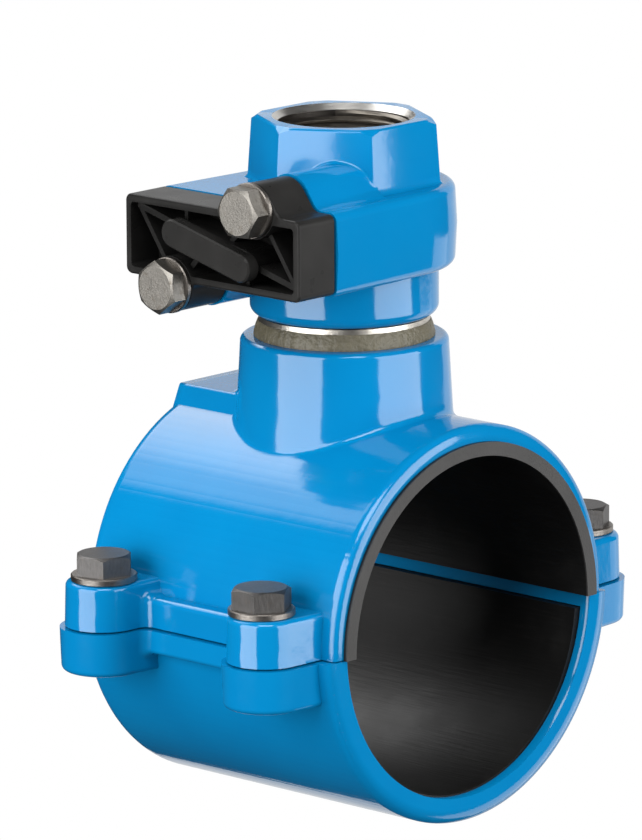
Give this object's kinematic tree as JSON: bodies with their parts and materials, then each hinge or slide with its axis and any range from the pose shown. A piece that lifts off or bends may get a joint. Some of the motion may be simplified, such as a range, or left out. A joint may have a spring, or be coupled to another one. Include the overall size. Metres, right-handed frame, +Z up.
{
  "type": "tapping saddle",
  "caption": "Tapping saddle: two rubber-lined half shells bolted round a pipe, with a threaded outlet valve body on its neck and a covered slot for a shut-off blade.",
  "frame": {"origin": "centre of the pipe bore, midway along the saddle, on the outlet's axis", "axes": "+Y along the pipe bore, +Z up along the outlet, -X towards the shut-off cover"},
  "size_m": [0.2024, 0.1256, 0.2518],
  "materials": {
    "blue_coating": "glossy fusion-bonded epoxy over ductile iron",
    "lining_rubber": "matte moulded EPDM",
    "seal_rubber": "matte moulded rubber",
    "black_plastic": "matte glass-filled plastic",
    "stainless": "turned stainless steel",
    "sealant": "semi-matt thread sealing compound",
    "bolt_steel": "dull stainless steel with a coated thread",
    "washer_steel": "plain stainless steel",
    "cover_bolt_steel": "bright stainless steel"
  },
  "bodies": {
    "root": {"saddle_upper": "blue_coating", "saddle_lower": "blue_coating", "upper_lining": "lining_rubber", "lower_lining": "lining_rubber", "valve_body": "blue_coating", "slot_seal": "seal_rubber", "slot_cover": "black_plastic", "cover_gasket": "seal_rubber", "nipple": "stainless", "sealing_bead": "sealant", "flank_washer_a": "washer_steel", "flank_bolt_a": "bolt_steel", "flank_nut_a": "bolt_steel", "flank_washer_b": "washer_steel", "flank_bolt_b": "bolt_steel", "flank_nut_b": "bolt_steel", "flank_washer_c": "washer_steel", "flank_bolt_c": "bolt_steel", "flank_nut_c": "bolt_steel", "flank_washer_d": "washer_steel", "flank_bolt_d": "bolt_steel", "flank_nut_d": "bolt_steel", "cover_washer_a": "washer_steel", "cover_bolt_a": "cover_bolt_steel", "cover_washer_b": "washer_steel", "cover_bolt_b": "cover_bolt_steel"}
  },
  "joints": []
}
